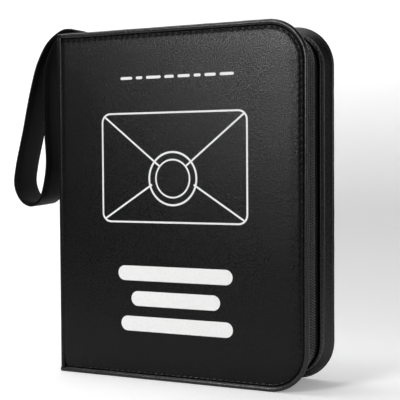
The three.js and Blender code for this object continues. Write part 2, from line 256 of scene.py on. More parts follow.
def ink():
    """Screen print that takes on the leather's grain."""
    m = Material("screen_print", (0.8, 0.8, 0.79), 0.5)
    m.bump(m.ramp(m.cells(1150), 0.0, 0.32), 0.025)
    m.color_mix(m.ramp(m.noise(900, 4), 0.3, 0.6), (0.77, 0.77, 0.765), (0.83, 0.83, 0.825))
    m.rough(m.noise(500, 3), 0.45, 0.58)
    return m.mat


BLACK = (0.0022, 0.0022, 0.0024)
COVER = leather("cover_leather", BLACK, 0.29, grain=1.15, depth=0.045, gloss=0.2)
TRIM = leather("trim_leather", (0.0028, 0.0028, 0.003), 0.31, grain=1.3, depth=0.03, gloss=0.5)
STRAP = leather("strap_leather", BLACK, 0.5, grain=1.5, depth=0.03, gloss=0.08)
TAPE = woven("zipper_tape_weave", (0.0025, 0.0025, 0.0028))
LINING = woven("lining_twill", (0.03, 0.03, 0.033), thread_mm=0.4, depth=0.06)
COIL = coil_plastic()
THREAD = thread()
ZIP_METAL = metal("gunmetal", (0.12, 0.12, 0.13), 0.3)
RING_METAL = metal("ring_chrome", (0.78, 0.78, 0.8), 0.16, scratch=0.05)
INK = ink()
PAPERS = [
    paper("kraft_paper", (0.62, 0.46, 0.29)),
    paper("kraft_paper_pale", (0.68, 0.53, 0.36)),
    paper("kraft_paper_dark", (0.56, 0.41, 0.25)),
]


# ---------------------------------------------------------------- meshes
def turns(count):
    """Evenly spaced angles round a full turn."""
    return [2 * math.pi * k / count for k in range(count)]


def neighbours(points, i):
    """The points before and after point i of an open line."""
    return points[max(i - 1, 0)], points[min(i + 1, len(points) - 1)]


def closed_mesh(name, shape, material, body, smooth=True):
    """A piece from (points in mm, faces), with its faces turned outwards."""
    verts, faces = shape
    mesh = bpy.data.meshes.new(name)
    mesh.from_pydata([(x * MM, y * MM, z * MM) for x, y, z in verts], [], faces)
    mesh.validate()
    mesh.polygons.foreach_set("use_smooth", [smooth] * len(mesh.polygons))
    mesh.materials.append(material)
    mesh.update()
    bm = bmesh.new()
    bm.from_mesh(mesh)
    bmesh.ops.recalc_face_normals(bm, faces=bm.faces)
    bm.to_mesh(mesh)
    bm.free()
    obj = bpy.data.objects.new(name, mesh)
    bpy.context.scene.collection.objects.link(obj)
    if body:
        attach(obj, body)
    return obj


def tube(rings):
    """Quads through rings of equal length, each a closed loop of points, and a cap at each end."""
    verts = [p for ring in rings for p in ring]
    count = len(rings[0])
    faces = []
    for i in range(len(rings) - 1):
        for k in range(count):
            m = (k + 1) % count
            faces.append((i * count + k, i * count + m, (i + 1) * count + m, (i + 1) * count + k))
    faces.append(tuple(range(count)))
    faces.append(tuple(reversed(range((len(rings) - 1) * count, len(rings) * count))))
    return verts, faces


def merge(parts):
    verts, faces = [], []
    for v, f in parts:
        base = len(verts)
        verts.extend(v)
        faces.extend(tuple(i + base for i in face) for face in f)
    return verts, faces


def smooth_loop(points, steps=2):
    """A closed Catmull-Rom loop through 2-D points."""
    out = []
    count = len(points)
    for i in range(count):
        p0, p1, p2, p3 = (points[(i + k - 1) % count] for k in range(4))
        for s in range(steps):
            t = s / steps
            out.append(tuple(
                0.5 * (2 * b + (c - a) * t + (2 * a - 5 * b + 4 * c - d) * t * t + (3 * b - a - 3 * c + d) * t ** 3)
                for a, b, c, d in zip(p0, p1, p2, p3)))
    return out


def edge_path(start, step=3.0, arc_steps=18):
    """Round the wallet's edge: (x, z, normal x, normal z) from x = start on the bottom to the top."""
    path = []

    def straight(x0, z0, x1, z1, nx, nz):
        count = max(1, round(math.hypot(x1 - x0, z1 - z0) / step))
        for i in range(count):
            t = i / count
            path.append((x0 + (x1 - x0) * t, z0 + (z1 - z0) * t, nx, nz))

    def arc(z, first):
        for i in range(arc_steps):
            angle = first + math.pi / 2 * i / arc_steps
            nx, nz = math.cos(angle), math.sin(angle)
            path.append((RIGHT - CORNER + CORNER * nx, z + CORNER * nz, nx, nz))

    straight(start, 0, RIGHT - CORNER, 0, 0, -1)
    arc(CORNER, -math.pi / 2)
    straight(RIGHT, CORNER, RIGHT, HEIGHT - CORNER, 1, 0)
    arc(HEIGHT - CORNER, 0)
    straight(RIGHT - CORNER, HEIGHT, start, HEIGHT, 0, 1)
    path.append((start, HEIGHT, 0, 1))
    return path


def inset_line(start, inset, y):
    """A finely divided 3-D line round the wallet, inset from its edge."""
    return [(x - nx * inset, y, z - nz * inset) for x, z, nx, nz in edge_path(start, 1.5, 26)]


def wobble(x, y, z, size, scale):
    """Smooth unevenness of about size mm, over scale mm."""
    return size * noise.noise(Vector((x / scale, y / scale, z / scale)))


def ease(t):
    """From 0 to 1 with a soft start and end."""
    t = min(1.0, max(0.0, t))
    return t * t * (3 - 2 * t)


def bell(distance, width):
    return math.exp(-(distance / width) ** 2)


def roll_off(distance, radius):
    """Height of a rounded edge against the flat face, at a distance in from the edge."""
    return math.sqrt(max(0.0, radius ** 2 - (radius - min(distance, radius)) ** 2)) - radius


def edge_sweep(name, section, side, start, material, body, uneven=0.0):
    """A closed section of (outward, depth) swept round the edge. side is -1 front, 1 back."""
    rings = []
    for x, z, nx, nz in edge_path(start):
        ring = []
        for n, d in section:
            n2 = n + (wobble(x, side * 40, z, uneven, 9) if uneven else 0)
            d2 = d + (wobble(z, side * 70, x, uneven, 11) if uneven else 0)
            ring.append((x + nx * n2, side * (HALF - d2), z + nz * n2))
        rings.append(ring)
    return closed_mesh(name, tube(rings), material, body)


# ---------------------------------------------------------------- stitches
# A stitch's rings: their place along it, their radius and how far they dip, as shares
CAPSULE = ((-0.5, 0.25, 0.5), (-0.4, 0.8, 0.2), (-0.2, 1, 0), (0.2, 1, 0), (0.4, 0.8, 0.2), (0.5, 0.25, 0.5))
STITCH_DIP = 1.4
STITCH_LENGTH = 2.9


def capsule_rings(centre, along, up, length, radius):
    """Rings of a rounded bar that dips at both ends."""
    cross = along.cross(up)
    rings = []
    for t, r, dip in CAPSULE:
        middle = centre + along * (t * length) - up * (dip * radius * STITCH_DIP)
        rings.append([tuple(middle + (cross * math.cos(a) + up * math.sin(a)) * (radius * r)) for a in turns(6)])
    return rings


def walk(points, pitch):
    """Evenly spaced (point, direction) along a polyline of 3-D points."""
    out = []
    want = pitch / 2
    gone = 0.0
    for a, b in zip(points, points[1:]):
        a, b = Vector(a), Vector(b)
        span = (b - a).length
        while span > 0 and want <= gone + span:
            out.append((a.lerp(b, (want - gone) / span), (b - a).normalized()))
            want += pitch
        gone += span
    return out


def stitch_row(name, line, up_at, body, length=STITCH_LENGTH, radius=0.3, pitch=STITCH):
    """Stitches along a line. up_at gives the way out of the leather for a direction of the line."""
    parts = [tube(capsule_rings(p, d, up_at(d), length, radius)) for p, d in walk(line, pitch)]
    return closed_mesh(name, merge(parts), THREAD, body)


# ---------------------------------------------------------------- covers
def ring_outline(inset, arc_steps=14, step=1.4):
    """Rounded outline of a cover panel, inset from its edge, as (x, z) points."""
    far_round = max(CORNER - PANEL_INSET - inset, 0.6)
    near_round = max(FOLD_ROUND - inset, 0.3)
    x0, x1 = LEFT + inset, RIGHT - PANEL_INSET - inset
    z0, z1 = PANEL_INSET + inset, HEIGHT - PANEL_INSET - inset
    corners = [
        (x0 + near_round, z0 + near_round, near_round, math.pi),
        (x1 - far_round, z0 + far_round, far_round, -math.pi / 2),
        (x1 - far_round, z1 - far_round, far_round, 0),
        (x0 + near_round, z1 - near_round, near_round, math.pi / 2),
    ]
    width = RIGHT - PANEL_INSET - LEFT
    tall = HEIGHT - 2 * PANEL_INSET
    counts = [round(width / step), round(tall / step), round(width / step), round(tall / step)]
    points = []
    for i, (cx, cz, r, first) in enumerate(corners):
        for k in range(arc_steps):
            angle = first + math.pi / 2 * k / arc_steps
            points.append((cx + r * math.cos(angle), cz + r * math.sin(angle)))
        end = (cx + r * math.cos(first + math.pi / 2), cz + r * math.sin(first + math.pi / 2))
        next_x, next_z, next_r, next_first = corners[(i + 1) % 4]
        begin = (next_x + next_r * math.cos(next_first), next_z + next_r * math.sin(next_first))
        for k in range(counts[i]):
            t = k / counts[i]
            points.append((end[0] + (begin[0] - end[0]) * t, end[1] + (begin[1] - end[1]) * t))
    return points


def sewn_distance(x, z):
    """Distance in from the panel's top, zipper side and bottom edges, and the place along them."""
    x1, z0, z1 = RIGHT - PANEL_INSET, PANEL_INSET, HEIGHT - PANEL_INSET
    r = CORNER - PANEL_INSET
    mid = (z0 + z1) / 2
    up = 1 if z > mid else -1
    zz = abs(z - mid)
    flat = (z1 - z0) / 2 - r
    dx, dz = x - (x1 - r), zz - flat
    bend = r - SEAM_INSET
    if dx > 0 and dz > 0:
        angle = math.atan2(dz, dx)
        return r - math.hypot(dx, dz), up * (flat + bend * angle)
    if dx > dz:
        return r - dx, up * zz
    return r - dz, up * (flat + bend * math.pi / 2 - dx)


def cover_rise(x, z):
    """How far the padded skin stands out from the cover's flat face, in mm."""
    e, place = sewn_distance(x, z)
    from_left = x - LEFT
    # The sewn edge: low at the rim, a shallow groove at the seam, then up onto the padding
    sewn = -1.45 + 0.6 * ease(e / 0.7) - 0.12 * bell(e - SEAM_INSET, 0.5)
    sewn += 0.25 * ease((e - 1.2) / 2.4) + 0.6 * ease((e - 2) / 9)
    # A dip at each needle hole, between two stitches
    holes = 0.5 + 0.5 * math.cos(2 * math.pi * (place + SEAM_PHASE) / STITCH)
    sewn -= 0.42 * holes ** 2 * bell(e - 1.6, 1.1)
    lift = 0.2 * ease((e - 4) / 30) * ease(from_left / 30)
    # The rounded fold, and the crease beside it
    fold = roll_off(from_left, FOLD_ROUND) - 0.3 * bell(from_left - 3.9, 1.1)
    soft = wobble(x, 5, z, 0.1, 34) * ease((e - 2) / 10)
    return sewn + lift + fold + soft


PANEL_RINGS = (0, 0.3, 0.6, 0.85, 1.1, 1.35, 1.6, 1.9, 2.3, 2.8, 3.5, 4.4, 5.6, 7.2, 9.5, 13, 18, 25, 34, 46, 60, 76,
               89)
PANEL_EDGE = ((0, 2.5), (0.35, 4.2), (1.2, 4.9))    # inset and depth of the rings under the rim


def cover_panel(name, side, body):
    loops = [[(x, side * (HALF + cover_rise(x, z)), z) for x, z in ring_outline(e)] for e in reversed(PANEL_RINGS)]
    for e, depth in PANEL_EDGE:
        loops.append([(x, side * (HALF - depth), z) for x, z in ring_outline(e)])
    return closed_mesh(name, tube(loops), COVER, body)


def cover_stitches(name, side, body):
    """Along the groove, on the top, zipper side and bottom."""
    line = inset_line(LEFT + 3.5, PANEL_INSET + SEAM_INSET, side * (HALF - 1.15))
    return stitch_row(name, line, lambda d: side * Y_AXIS, body, radius=0.46)


# Sections of (outward from the wallet's edge, depth from the cover's face)
PIPING = smooth_loop([
    (-3.5, 1.35), (-3.0, 0.45), (-2.1, 0.02), (-1.2, 0.05), (-0.35, 0.6), (0.0, 1.5), (-0.15, 2.5), (-0.8, 3.15),
    (-1.8, 3.2), (-2.9, 2.8), (-3.5, 2.1)])
GUSSET = smooth_loop([
    (-1.0, 3.4), (-0.75, 3.6), (-1.7, 5.2), (-3.1, 7.4), (-4.1, 9.0), (-4.5, 9.25), (-4.25, 9.5), (-4.35, 10.3),
    (-4.7, 12.4), (-4.95, 13.4), (-5.4, 13.75), (-6.2, 13.7), (-6.75, 13.2), (-6.8, 11.5), (-6.8, 10.0), (-5.2, 8.2),
    (-3.4, 5.6), (-2.1, 3.7)])
TAPE_SECTION = [
    (-7.55, 24.0), (-7.5, 20.3), (-7.35, 20.1), (-7.5, 19.8), (-7.5, 18.6), (-7.35, 18.4), (-7.5, 18.1),
    (-7.5, 16.6), (-7.35, 16.4), (-7.5, 16.1), (-7.5, 14.6), (-7.5, 10.1), (-8.4, 10.1), (-8.4, 24.0)]
LIP_INSET, LIP_DEPTH = 4.62, 12.3       # the seam on the gusset's lip

for cover, side in SIDES:
    panel = cover_panel(f"{cover}_cover_skin", side, cover)
    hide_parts(f"{cover}_cover")
    cover_stitches(f"{cover}_cover_stitches", side, cover)
    rim = edge_sweep(f"{cover}_rim", PIPING, side, LEFT + 0.5, TRIM, cover, 0.12)
    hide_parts(f"{cover}_piping")
    wall = edge_sweep(f"{cover}_gusset_skin", GUSSET, side, LEFT + 6.2, TRIM, cover, 0.1)
    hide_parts(f"{cover}_gusset")
    tape = edge_sweep(f"{cover}_tape_weave", TAPE_SECTION, side, ZIP_START + 0.1, TAPE, cover)
    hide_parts(f"{cover}_zipper_tape")
    lip = inset_line(LEFT + 7.5, LIP_INSET, side * (HALF - LIP_DEPTH))
    stitch_row(f"{cover}_lip_stitches", lip, lambda d: d.cross(Y_AXIS).normalized(), cover,
               length=2.3, radius=0.2, pitch=3.4)


# ---------------------------------------------------------------- zipper teeth
# Along a tooth's bar: across from the middle, out from the wallet's edge, forward along the zipper, width
TOOTH = ((4.02, -7.3, -0.8, 0.4), (3.85, -6.5, -0.65, 0.5), (3.2, -6.17, -0.4, 0.52), (2.2, -6.16, 0.0, 0.52),
         (1.4, -6.2, 0.4, 0.62), (1.06, -6.5, 0.62, 0.66), (1.06, -7.1, 0.7, 0.5))
TOOTH_PITCH, TOOTH_THICK, TOOTH_WIDE = 1.8, 0.34, 0.62
COIL_INSET = 6.5                        # from the wallet's edge to the line that the teeth follow
END_COIL = (LEFT + 9.7, LEFT + 30.2)    # the sewn ends of the zipper, beside the spine
END_STEPS = 14


def tooth(x, z, nx, nz, side):
    """One turn of the coil: a bent bar from the tape side to the head at the middle."""
    normal, along, base = Vector((nx, 0, nz)), Vector((-nz, 0, nx)), Vector((x, 0, z))
    rings = []
    for i, (across, out, forward, width) in enumerate(TOOTH):
        before, after = neighbours(TOOTH, i)
        go = Vector((after[0] - before[0], after[1] - before[1], 0)).normalized()
        side_dir = Vector((-go.y, go.x, 0))
        middle = base + normal * out + Vector((0, side * across, 0)) + along * forward
        ring = []
        for a in turns(6):
            thick = side_dir * (TOOTH_THICK * math.cos(a))
            ring.append(tuple(middle + Vector((0, side * thick.x, 0)) + normal * thick.y
                              + along * (width * TOOTH_WIDE * math.sin(a))))
        rings.append(ring)
    return tube(rings)


def coil(name, node, side, body, line):
    """The teeth of one side; those at the back lie half a pitch further on."""
    shift = TOOTH_PITCH / 2 if side > 0 else 0.0
    parts = []
    for p, d in walk(line, TOOTH_PITCH):
        nx, nz = d.z, -d.x
        at = p + d * shift
        parts.append(tooth(at.x + nx * COIL_INSET, at.z + nz * COIL_INSET, nx, nz, side))
    obj = closed_mesh(name, merge(parts), COIL, body)
    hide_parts(node)


main_line = inset_line(ZIP_START + 0.4, COIL_INSET, 0)
for name, side in SIDES:
    coil(f"{name}_teeth", f"{name}_zipper_coil", side, name, main_line)
for end, z, up in (("top", HEIGHT, 1), ("bottom", 0.0, -1)):
    last, first = END_COIL if up > 0 else reversed(END_COIL)
    end_line = [(first + (last - first) * i / END_STEPS, 0, z - up * COIL_INSET) for i in range(END_STEPS + 1)]
    for name, side in SIDES:
        coil(f"end_teeth_{end}_{name}", f"zipper_end_coil_{end}_{name}", side, "spine", end_line)


# ---------------------------------------------------------------- spine and folds
SPINE_HALF = 19.7           # half its width
SPINE_SEAM = 16.5           # from its middle to each seam
SPINE_THICK = 3.95
SPINE_YS = (3, 6, 9, 12, 14.5, 15.6, 16.5, 17.4, 18.2, 18.8, 19.2, 19.5, SPINE_HALF)
SPINE_END_ZS = (0, 0.2, 0.5, 1, 1.6, 2.5, 4)
SPINE_ROWS = 80


def spine_rise(y, z):
    """How far the spine's skin stands out from its flat face, in mm."""
    edge_y = SPINE_HALF - abs(y)
    edge_z = min(z, HEIGHT - z)
    seam = -0.22 * bell(abs(y) - SPINE_SEAM, 0.9)
    return (roll_off(edge_y, 1.2) + roll_off(edge_z, 1.6) + 0.25 * ease(edge_y / 12) + seam
            + wobble(y, 3, z, 0.07, 25))


ys = [-y for y in reversed(SPINE_YS)] + [0] + list(SPINE_YS)
row_low, row_high = SPINE_END_ZS[-1], HEIGHT - SPINE_END_ZS[-1]
zs = list(SPINE_END_ZS)
zs += [row_low + (row_high - row_low) * i / SPINE_ROWS for i in range(1, SPINE_ROWS)]
zs += [HEIGHT - z for z in reversed(SPINE_END_ZS)]
spine_loops = []
for z in zs:
    outer_row = [(LEFT - spine_rise(y, z), y, z) for y in ys]
    inner_row = [(LEFT + SPINE_THICK, y, z) for y in reversed(ys)]
    spine_loops.append(outer_row + inner_row)
spine_skin = closed_mesh("spine_skin", tube(spine_loops), COVER, "spine")
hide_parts("spine")
for name, side in SIDES:
    y = side * SPINE_SEAM
    line = [(LEFT - spine_rise(y, z) - 0.05, y, z) for z in range(6, 230)]
    stitch_row(f"spine_stitches_{name}", line, lambda d: Vector((-1, 0, 0)), "spine")

FOLD_START, FOLD_LENGTH, FOLD_ROWS = 1.2, 232.6, 116
OUTER_BEND, INNER_BEND, BEND_DEPTH = 2.95, (2.5, 2.3), 22.2


def fold_section():
    """The strip's section at the front: (x, y) along its outer face and back along its inner one."""
    outer = [(LEFT + 3.7, -24.9), (LEFT + 3.2, -25.1), (LEFT + 2.7, -25.12)]
    for i in range(1, 9):
        a = math.pi / 2 * i / 9
        outer.append((LEFT + 2.7 - OUTER_BEND * math.sin(a), -BEND_DEPTH - OUTER_BEND * math.cos(a)))
    outer += [(LEFT - 0.27, -21.2), (LEFT - 0.3, -20.2), (LEFT - 0.28, -19.2), (LEFT - 0.2, -17.6),
              (LEFT - 0.1, -17.1)]
    inner = [(LEFT + 0.35, -17.3), (LEFT + 0.3, -19.2), (LEFT + 0.3, -21.2)]
    for a in (0.3, 0.8, 1.3):
        inner.append((LEFT + 2.9 - INNER_BEND[0] * math.cos(a), -BEND_DEPTH - INNER_BEND[1] * math.sin(a)))
    inner += [(LEFT + 3.2, -24.6), (LEFT + 3.7, -24.5)]
    return outer + inner


def fold_strip(name, side):
    """The skin that turns from a cover's face round the fold to the spine's face."""
    loops = []
    for i in range(FOLD_ROWS + 1):
        z = FOLD_START + FOLD_LENGTH * i / FOLD_ROWS
        from_end = min(z - FOLD_START, FOLD_START + FOLD_LENGTH - z)
        bend = 0.35 * max(0.0, 1 - from_end / 1.5) ** 2
        ripple = wobble(3, side, z, 0.1, 12)
        loop = []
        for x, y in fold_section():
            in_x = bend + ripple * 0.5 if x < LEFT + 2 else 0
            in_y = bend + ripple * 0.3 if y < -22 else 0
            loop.append((x + in_x, side * -(y + in_y), z))
        loops.append(loop)
    obj = closed_mesh(name, tube(loops), COVER, None)
    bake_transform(obj)


fold_strip("front_fold_skin", -1)
fold_strip("back_fold_skin", 1)


# ---------------------------------------------------------------- wrist strap
# (x from the spine's face, z from the wallet's top) along the middle of the strap
STRAP_LINE = [(4, 3.8), (-3, 3.7), (-14.7, -3.2), (-24.2, -17.5), (-31, -38), (-37.5, -65), (-44.4, -92), (-46, -104),
              (-43.5, -112), (-38, -118), (-31, -119.5), (-24.6, -115.5), (-20.8, -106), (-18, -90), (-19, -68),
              (-19.5, -44), (-18.5, -23), (-14, -10.5), (-6.5, -1), (0, 1.5), (4, 1.3)]
STRAP_HALF_WIDTH = 13
# (across, half the thickness) over one half of the strap: flat, a groove near the edge, a rounded rim
STRAP_SECTION = [(0, 1.14), (6, 1.1), (10.7, 0.98), (11.2, 0.86), (11.6, 1.0), (12.2, 1.08), (12.8, 0.75),
                 (STRAP_HALF_WIDTH, 0.0)]
STRAP_LEAN = 0.055          # how far the hanging end turns, for each mm across it
STRAP_SEAMS = ((-2.2, 4.88), (2.6, 4.98))       # (x from the spine's face, z above the wallet's top)


def centripetal(points, steps=10):
    """Centripetal Catmull-Rom line through 2-D points."""
    pts = [Vector(p) for p in points]
    pts = [pts[0] * 2 - pts[1]] + pts + [pts[-1] * 2 - pts[-2]]
    out = []
    for i in range(1, len(pts) - 2):
        p0, p1, p2, p3 = pts[i - 1:i + 3]
        t1 = max((p1 - p0).length, 1e-6) ** 0.5
        t2 = t1 + max((p2 - p1).length, 1e-6) ** 0.5
        t3 = t2 + max((p3 - p2).length, 1e-6) ** 0.5
        for s in range(steps):
            t = t1 + (t2 - t1) * s / steps
            a1 = p0 * ((t1 - t) / t1) + p1 * (t / t1)
            a2 = p1 * ((t2 - t) / (t2 - t1)) + p2 * ((t - t1) / (t2 - t1))
            a3 = p2 * ((t3 - t) / (t3 - t2)) + p3 * ((t - t2) / (t3 - t2))
            b1 = a1 * ((t2 - t) / t2) + a2 * (t / t2)
            b2 = a2 * ((t3 - t) / (t3 - t1)) + a3 * ((t - t1) / (t3 - t1))
            out.append(b1 * ((t2 - t) / (t2 - t1)) + b2 * ((t - t1) / (t2 - t1)))
    out.append(pts[-2])
    return out


def strap():
    """The strap's closed loop, with two rows of stitches where it is sewn on."""
    line = centripetal(STRAP_LINE)
    upper = [(-y, h) for y, h in reversed(STRAP_SECTION[1:])] + STRAP_SECTION
    section = upper + [(y, -h) for y, h in reversed(upper[1:-1])]
    loops = []
    for i, p in enumerate(line):
        before, after = neighbours(line, i)
        go = (after - before).normalized()
        aside = Vector((go.y, -go.x))
        low = min(1.0, max(0.0, (-60 - p.y) / 60))
        ring = []
        for y, h in section:
            tilt = low * STRAP_LEAN * (y + STRAP_HALF_WIDTH)
            x = LEFT + p.x + aside.x * h + tilt * 0.35
            z = HEIGHT + p.y + aside.y * h + tilt * 0.9
            ring.append((x + wobble(x, y, z, 0.15, 30), y, z))
        loops.append(ring)
    obj = closed_mesh("wrist_strap_leather", tube(loops), STRAP, "spine")
    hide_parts("wrist_strap")
    for i, (dx, up) in enumerate(STRAP_SEAMS):
        row = [(LEFT + dx, -12 + 24 * k / 20, HEIGHT + up) for k in range(21)]
        stitch_row(f"strap_stitches_{i + 1}", row, lambda d: Vector((0, 0, 1)), "spine",
                   length=2.2, radius=0.26, pitch=3.2)


strap()


# ---------------------------------------------------------------- print on the front cover
INK_ABOVE, INK_BELOW = 0.06, -0.1       # the ink's faces, above the skin
LINE_WIDTH = 1.2
ROUND_SHARE = 0.3                       # of a bar's steps, in each of its round ends


def over_cover(x, z, above):
    return (x, -HALF - cover_rise(x, z) - above, z)


def decal(name, strips):
    """Thin raised ink that follows the skin. Each strip is a list of ((x, z), (x, z)) across it."""
    parts = []
    for strip in strips:
        parts.append(tube([[over_cover(*a, INK_ABOVE), over_cover(*b, INK_ABOVE),
                            over_cover(*b, INK_BELOW), over_cover(*a, INK_BELOW)] for a, b in strip]))
    return closed_mesh(name, merge(parts), INK, "front", smooth=False)


def bar(x0, x1, z0, z1, steps=24):
    """A bar with round ends."""
    r = (z1 - z0) / 2
    strip = []
    for i in range(steps + 1):
        t = i / steps
        if t < ROUND_SHARE:
            a = math.pi / 2 * (t / ROUND_SHARE)
            x, h = x0 + r * (1 - math.cos(a)), r * math.sin(a)
        elif t > 1 - ROUND_SHARE:
            a = math.pi / 2 * ((1 - t) / ROUND_SHARE)
            x, h = x1 - r * (1 - math.cos(a)), r * math.sin(a)
        else:
            x, h = x0 + r + (x1 - x0 - 2 * r) * (t - ROUND_SHARE) / (1 - 2 * ROUND_SHARE), r
        strip.append(((x, (z0 + z1) / 2 + h + 0.001), (x, (z0 + z1) / 2 - h - 0.001)))
    return strip


def stroke(points, width, closed=False):
    """A line of even width through points."""
    pts = [Vector(p) for p in points]
    count = len(pts)
    strip = []
    for i, p in enumerate(pts):
        before, after = (pts[(i - 1) % count], pts[(i + 1) % count]) if closed else neighbours(pts, i)
        go1 = (p - before).normalized() if (p - before).length > 1e-6 else (after - p).normalized()
        go2 = (after - p).normalized() if (after - p).length > 1e-6 else go1
        tangent = (go1 + go2).normalized()
        aside = Vector((-tangent.y, tangent.x))
        reach = width / 2 / max(0.5, aside.dot(Vector((-go1.y, go1.x))))
        strip.append((tuple(p + aside * reach), tuple(p - aside * reach)))
    if closed:
        strip.append(strip[0])
    return strip


def rounded_box(x0, x1, z0, z1, r, per_side=14, arc=6):
    pts = []
    for cx, cz, first, nxt in ((x1 - r, z1 - r, 0, (x0 + r, z1)), (x0 + r, z1 - r, 1, (x0, z0 + r)),
                               (x0 + r, z0 + r, 2, (x1 - r, z0)), (x1 - r, z0 + r, 3, (x1, z1 - r))):
        for k in range(arc + 1):
            a = math.pi / 2 * (first + k / arc)
            pts.append((cx + r * math.cos(a), cz + r * math.sin(a)))
        last = pts[-1]
        for k in range(1, per_side):
            t = k / per_side
            pts.append((last[0] + (nxt[0] - last[0]) * t, last[1] + (nxt[1] - last[1]) * t))
    return pts


def line_points(a, b, count):
    return [(a[0] + (b[0] - a[0]) * i / count, a[1] + (b[1] - a[1]) * i / count) for i in range(count + 1)]


def circle(cx, cz, r, count):
    return [(cx + r * math.cos(a), cz + r * math.sin(a)) for a in turns(count)]


DASH_START, DASH_GAP, DASH_LOW, DASH_HIGH = -17.5, 2.8, 201.1, 203.0
dashes = []
dash_x = DASH_START
for length in (9, 5, 11, 7, 9, 5, 8, 10):
    dashes.append(bar(dash_x, dash_x + length, DASH_LOW, DASH_HIGH, 16))
    dash_x += length + DASH_GAP
decal("print_dashes", dashes)

# A plain envelope: its outline, the four slanted folds, and a double circle
decal("print_envelope", [
    stroke(rounded_box(-32, 75, 106, 178.5, 6), LINE_WIDTH, closed=True),
    stroke(line_points((-29.8, 176.3), (12, 143), 20), LINE_WIDTH),
    stroke(line_points((31, 143), (72.8, 176.3), 20), LINE_WIDTH),
    stroke(line_points((-29.8, 108.2), (6, 131), 16), LINE_WIDTH),
    stroke(line_points((37, 131), (72.8, 108.2), 16), LINE_WIDTH),
    stroke(circle(21.5, 135, 17.5, 64), 1.3, closed=True),
    stroke(circle(21.5, 135, 12.5, 48), 1.1, closed=True),
])
decal("print_bars", [bar(-20.5, 64.5, 66.5, 76.5), bar(-10.5, 55.5, 49.5, 59.5), bar(-18.5, 64.5, 32.5, 42.5)])


# ---------------------------------------------------------------- envelopes
RING_ZS = (44.5, 63.5, 82.5, 152.5, 171.5, 190.5)
ENVELOPES, ENVELOPE_PITCH, FIRST_ENVELOPE = 12, 1.5, -8.25
HALF_SHEET, SHEET_BEVEL = 0.52, 0.1
HOLE_X, HOLE_RADIUS = -39.1, 3.9
FLAP = ((-34, 221.2), (99, 221.2), (70, 176), (62, 171), (5, 171), (-3, 176))

for i in range(ENVELOPES):
    curve = bpy.data.curves.new(f"envelope_{i + 1}", "CURVE")
    curve.dimensions = "2D"
    curve.fill_mode = "BOTH"
    curve.extrude = HALF_SHEET * MM
    curve.bevel_depth = SHEET_BEVEL * MM
    curve.bevel_resolution = 1
    x0, x1 = -47.6 + random.uniform(0, 0.4), 100.0 - random.uniform(0, 1.4)
    z0, z1 = 13.6 + random.uniform(0, 0.9), 221.4 - random.uniform(0, 0.9)
    outline = rounded_box(x0, x1, z0, z1, 3, per_side=2, arc=5)
    for points in [outline] + [list(reversed(circle(HOLE_X, z, HOLE_RADIUS, 20))) for z in RING_ZS]:
        spline = curve.splines.new("POLY")
        spline.points.add(len(points) - 1)
        for point, (px, pz) in zip(spline.points, points):
            point.co = (px * MM, pz * MM, 0, 1)
        spline.use_cyclic_u = True
    sheet = bpy.data.objects.new(f"envelope_{i + 1}", curve)
    bpy.context.scene.collection.objects.link(sheet)
    place = (0, (FIRST_ENVELOPE + ENVELOPE_PITCH * i) * MM, 0)
    sheet.matrix_world = Matrix.Translation(place) @ Matrix.Rotation(math.pi / 2, 4, "X")
    curve.materials.append(PAPERS[i % 3])
    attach(sheet, "spine")
    if i == 0:
        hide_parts("envelope_stack")

for name, side in SIDES:
    flap = [[(x, side * y, z) for x, z in FLAP] for y in (8.93, 9.25)]
    closed_mesh(f"envelope_flap_{name}", tube(flap), PAPERS[1], "spine", smooth=False)


# ---------------------------------------------------------------- metal nodes
def finish_node(name, material, bevel):
    """Gives a node of the frame its material and soft edges."""
    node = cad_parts[name]
    if not node.material_slots:
        node.data.materials.append(None)
    for slot in node.material_slots:
        slot.link = "OBJECT"
        slot.material = material
    mod = node.modifiers.new("soft_edges", "BEVEL")
    mod.width = bevel * MM
    mod.segments = 2
    mod.limit_method = "ANGLE"
    mod.angle_limit = math.radians(35)


for name in ("slider", "pull_tab", "zipper_stop_top", "zipper_stop_bottom"):
    finish_node(name, ZIP_METAL, 0.25)
for name in ("ring_plate", "rivet_bottom", "rivet_top", "leaf_front", "leaf_back", "lever_top", "lever_bottom"):
    finish_node(name, RING_METAL, 0.15)
for name in ("zipper_end_tape_top", "zipper_end_tape_bottom"):
    finish_node(name, TAPE, 0.2)

RING_CENTRE, RING_RADIUS, RING_WIRE = -50.48, 13.0, 1.28
RING_GAP = 0.0115           # angle from the middle to a half ring's end, in radians
RING_FOOT = -60.05          # x where the arc ends and the foot begins
RING_ROOT = (-61.5, 6.3)    # the foot's end, on its leaf
RING_STEPS = 25
foot_angle = math.pi - math.acos((RING_CENTRE - RING_FOOT) / RING_RADIUS)
for i, z in enumerate(RING_ZS):
    for name, side in SIDES:
        stations = []
        for k in range(RING_STEPS + 1):
            a = side * (RING_GAP + (foot_angle - RING_GAP) * k / RING_STEPS)
            normal = Vector((math.cos(a), math.sin(a), 0))
            stations.append((Vector((RING_CENTRE, 0, z)) + normal * RING_RADIUS, normal))
        stations.append((Vector((RING_ROOT[0], side * RING_ROOT[1], z)), Vector((0, side, 0))))
        loops = [[tuple(middle + normal * (RING_WIRE * math.cos(t)) + Vector((0, 0, RING_WIRE * math.sin(t))))
                  for t in turns(14)] for middle, normal in stations]
        half = closed_mesh(f"ring_{name}_wire_{i + 1}", tube(loops), RING_METAL, f"rings_{name}")
        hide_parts(f"ring_{name}_{i + 1}")


# ---------------------------------------------------------------- lining
# (inset from the panel's edge, y) over the lining's face
LINING_RINGS = ((2.4, 20.05), (2.4, 19.75), (3.2, 19.62), (4.5, 19.66), (6, 19.6), (30, 19.55), (80, 19.55))

